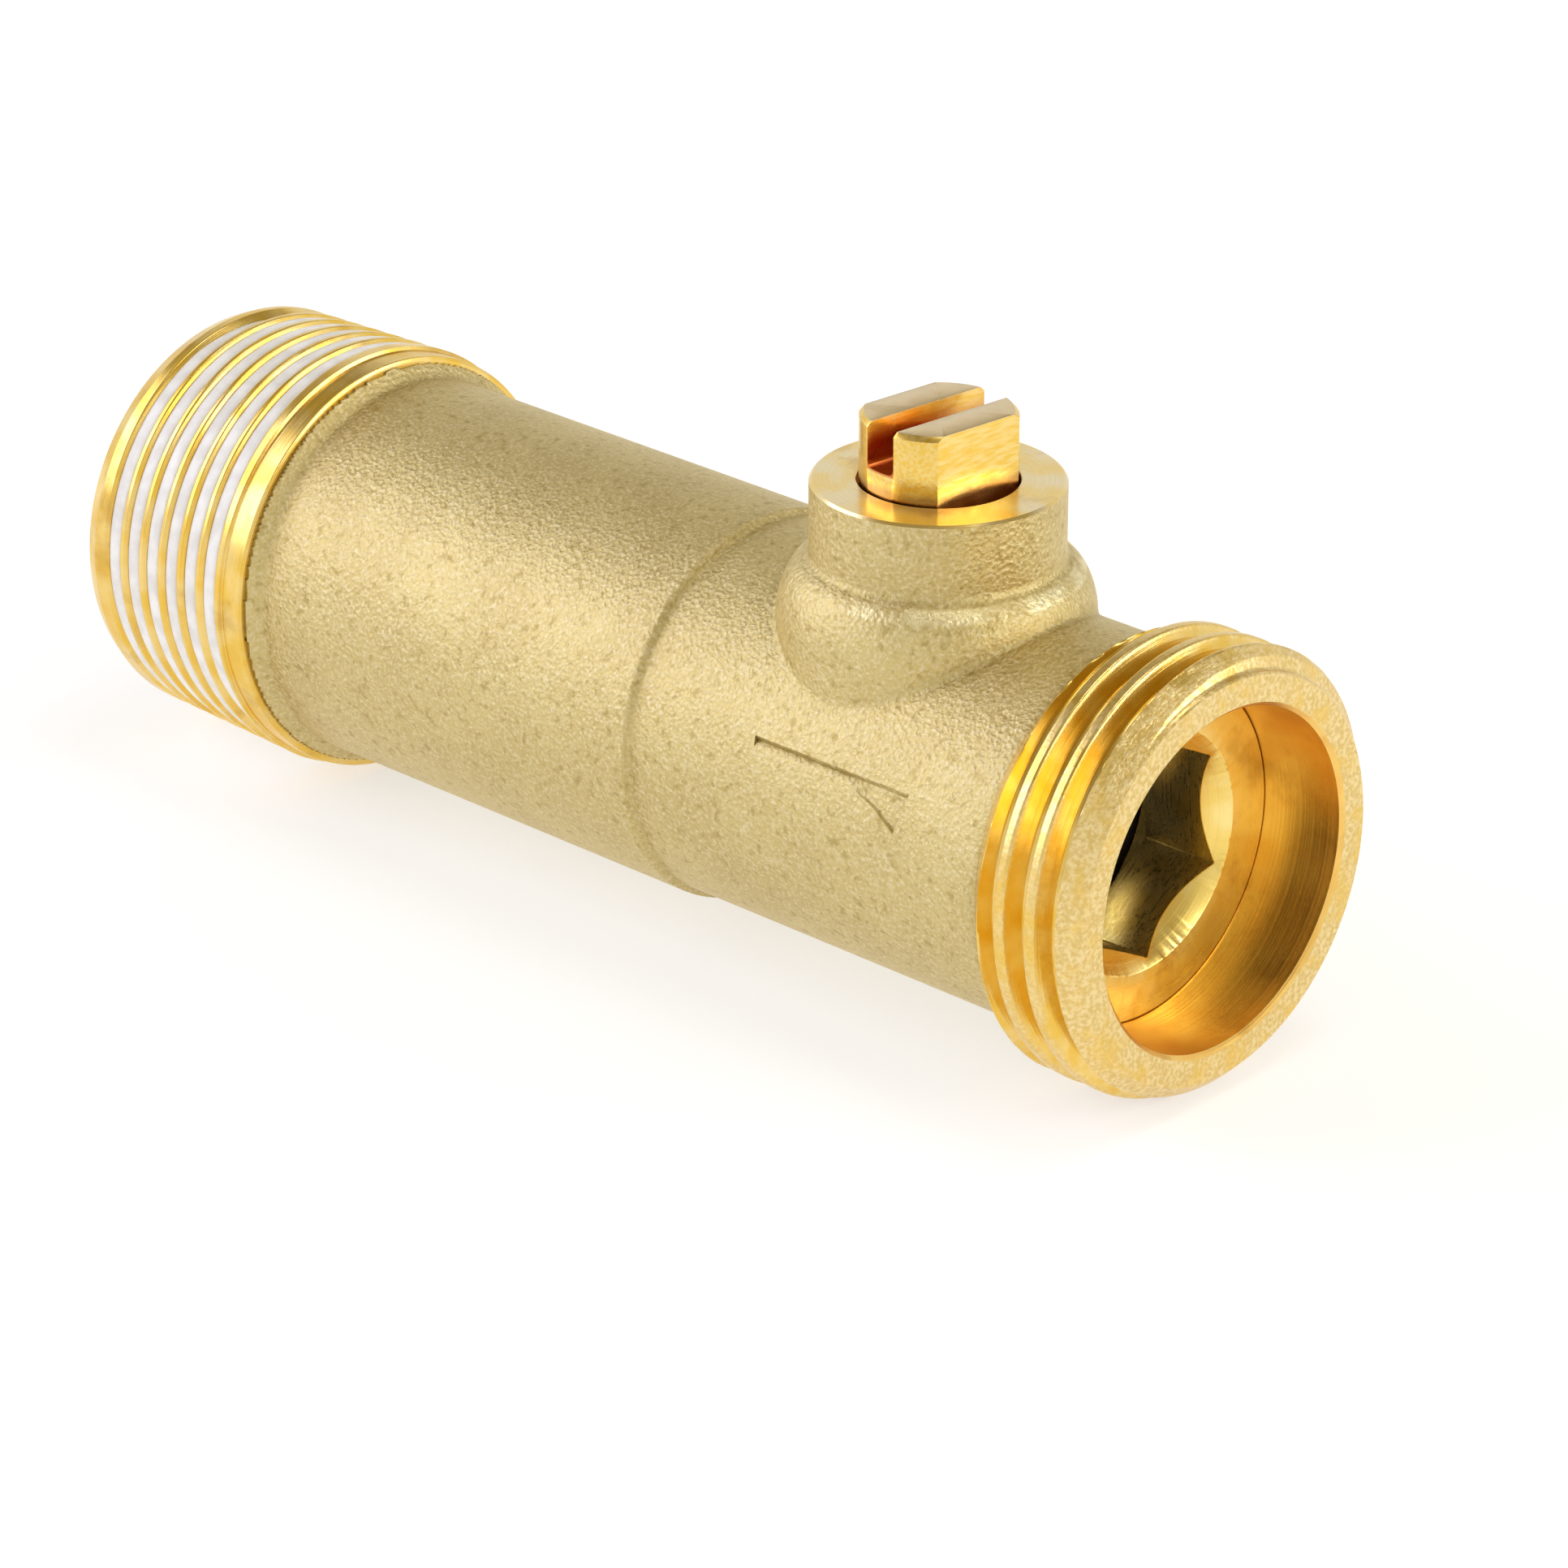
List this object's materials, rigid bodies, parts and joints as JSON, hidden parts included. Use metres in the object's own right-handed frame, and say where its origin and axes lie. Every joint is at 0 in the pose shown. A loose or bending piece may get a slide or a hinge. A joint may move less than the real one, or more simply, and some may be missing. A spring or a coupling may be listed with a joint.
{
  "type": "quarter-turn drain valve",
  "caption": "Slot-operated brass ball valve with a taper pipe thread at the inlet, a garden-hose thread at the outlet and a slotted stem on a side boss.",
  "frame": {"origin": "centre of the inlet end face, on the pipe axis", "axes": "+X along the pipe axis in the direction of flow, from the inlet thread to the outlet thread; +Z parallel to the stem axis, from the ball to the slotted end; +Y completes the right-handed frame"},
  "size_m": [0.0821, 0.027, 0.0359],
  "materials": {
    "forged_brass": "sandblasted forging, threads and end faces turned bright",
    "machined_brass": "bright turned and milled brass",
    "thread_sealant": "dried white sealing compound",
    "plated_ball": "polished plating",
    "seat_ptfe": "dark filled PTFE",
    "washer_ptfe": "white PTFE",
    "seal_rubber": "black nitrile"
  },
  "bodies": {
    "housing": {"valve_body": "forged_brass", "thread_sealant": "thread_sealant", "inlet_seat": "seat_ptfe", "outlet_seat": "seat_ptfe", "ball_retainer": "machined_brass", "stem_thrust_washer": "washer_ptfe"},
    "stem_unit": {"stem": "machined_brass", "stem_o_ring_lower": "seal_rubber", "stem_o_ring_upper": "seal_rubber"},
    "ball_unit": {"ball": "plated_ball"}
  },
  "joints": [
    {"name": "stem_turn", "type": "hinge", "parent": "housing", "child": "stem_unit", "pos_m": [0.0601, 0, 0], "axis": [0, 0, 1], "range_deg": [0, 90]},
    {"name": "ball_turn", "type": "hinge", "parent": "housing", "child": "ball_unit", "pos_m": [0.0601, 0, 0], "axis": [0, 0, 1], "range_deg": [0, 90]}
  ],
  "couplings": [
    {"joint": "ball_turn", "follows": "stem_turn", "ratio": 1}
  ]
}
